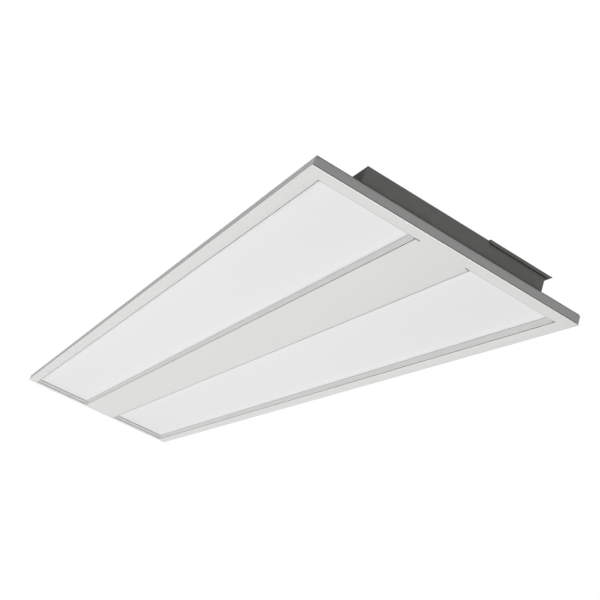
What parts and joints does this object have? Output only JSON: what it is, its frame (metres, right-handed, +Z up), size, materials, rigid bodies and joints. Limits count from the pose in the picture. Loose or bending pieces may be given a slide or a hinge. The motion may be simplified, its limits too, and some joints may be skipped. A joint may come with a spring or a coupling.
{
  "type": "recessed troffer light",
  "caption": "Slim recessed ceiling troffer with two sunken frosted lenses, a flush centre strip, a rear housing with a hinged wiring cover, and swing-out grid clips.",
  "frame": {"origin": "middle of the visible face, on the plane that rests on the ceiling grid", "axes": "+X across the light, +Y along its length away from the wiring compartment, +Z up into the ceiling"},
  "size_m": [0.302, 1.213, 0.0432],
  "materials": {
    "white_paint": "satin powder coat",
    "bezel_white": "satin moulded white",
    "galvanised": "dull galvanised sheet",
    "lens_frosted": "frosted diffuser",
    "guide_clear": "clear light guide",
    "reflector_white": "matt white sheet",
    "gasket_grey": "grey foam",
    "foam_dark": "dark foam",
    "rail_aluminium": "plain extruded",
    "board_white": "white solder mask",
    "chip_yellow": "phosphor",
    "connector_white": "moulded nylon",
    "grommet_black": "black rubber",
    "fastener_steel": "zinc plated",
    "clip_steel": "zinc plated spring steel",
    "driver_white": "satin paint",
    "circuit_green": "solder mask",
    "winding_tape": "yellow tape",
    "capacitor_can": "sleeved can",
    "lead_black": "insulation",
    "lead_white": "insulation",
    "lead_green": "insulation",
    "lead_red": "insulation",
    "terminal_orange": "moulded nylon",
    "ground_green": "green zinc"
  },
  "bodies": {
    "luminaire": {"face_frame": "white_paint", "foam_strips": "foam_dark", "back_plate": "galvanised", "back_plate_screws": "fastener_steel", "plate_grommets": "grommet_black", "housing_shell": "galvanised", "housing_rivets": "fastener_steel", "end_plate_near": "galvanised", "end_plate_far": "galvanised", "end_plate_rivets": "fastener_steel", "compartment_wall": "galvanised", "wall_grommet": "grommet_black", "hinge_leaf": "galvanised", "hinge_pin": "fastener_steel", "hinge_rivets": "fastener_steel", "terminal_block": "terminal_orange", "ground_screw": "ground_green", "driver_case": "driver_white", "driver_lid": "driver_white", "driver_circuit": "circuit_green", "driver_transformer": "winding_tape", "driver_choke": "winding_tape", "driver_capacitors": "capacitor_can", "driver_screws": "fastener_steel", "mains_lead_line": "lead_black", "mains_lead_neutral": "lead_white", "mains_lead_ground": "lead_green", "low_volt_lead_right": "lead_red", "low_volt_lead_left": "lead_red", "clip_rivets": "fastener_steel", "lens_bezel_right": "bezel_white", "lens_bezel_left": "bezel_white", "lens_gasket_right": "gasket_grey", "lens_gasket_left": "gasket_grey", "lens_right": "lens_frosted", "lens_left": "lens_frosted", "light_guide_right": "guide_clear", "light_guide_left": "guide_clear", "reflector_sheet_right": "reflector_white", "reflector_sheet_left": "reflector_white", "led_rail_right": "rail_aluminium", "led_rail_left": "rail_aluminium", "led_board_right": "board_white", "led_board_left": "board_white", "led_chips_right": "chip_yellow", "led_chips_left": "chip_yellow", "board_connector_right": "connector_white", "board_connector_left": "connector_white"},
    "wiring_cover": {"access_cover": "galvanised", "cover_screw": "fastener_steel", "cable_bushing": "grommet_black"},
    "clip_near_left": {"grid_clip_near_left": "clip_steel"},
    "clip_near_right": {"grid_clip_near_right": "clip_steel"},
    "clip_far_left": {"grid_clip_far_left": "clip_steel"},
    "clip_far_right": {"grid_clip_far_right": "clip_steel"}
  },
  "joints": [
    {"name": "cover_hinge", "type": "hinge", "parent": "luminaire", "child": "wiring_cover", "pos_m": [0.0324, -0.541, 0.0325], "axis": [0, -1, 0], "range_deg": [0, 110]},
    {"name": "clip_swing_near_left", "type": "hinge", "parent": "luminaire", "child": "clip_near_left", "pos_m": [-0.092, -0.455, 0.0313], "axis": [0, 0, 1], "range_deg": [0, 90]},
    {"name": "clip_swing_near_right", "type": "hinge", "parent": "luminaire", "child": "clip_near_right", "pos_m": [0.092, -0.455, 0.0313], "axis": [0, 0, -1], "range_deg": [0, 90]},
    {"name": "clip_swing_far_left", "type": "hinge", "parent": "luminaire", "child": "clip_far_left", "pos_m": [-0.092, 0.455, 0.0313], "axis": [0, 0, -1], "range_deg": [0, 90]},
    {"name": "clip_swing_far_right", "type": "hinge", "parent": "luminaire", "child": "clip_far_right", "pos_m": [0.092, 0.455, 0.0313], "axis": [0, 0, 1], "range_deg": [0, 90]}
  ]
}
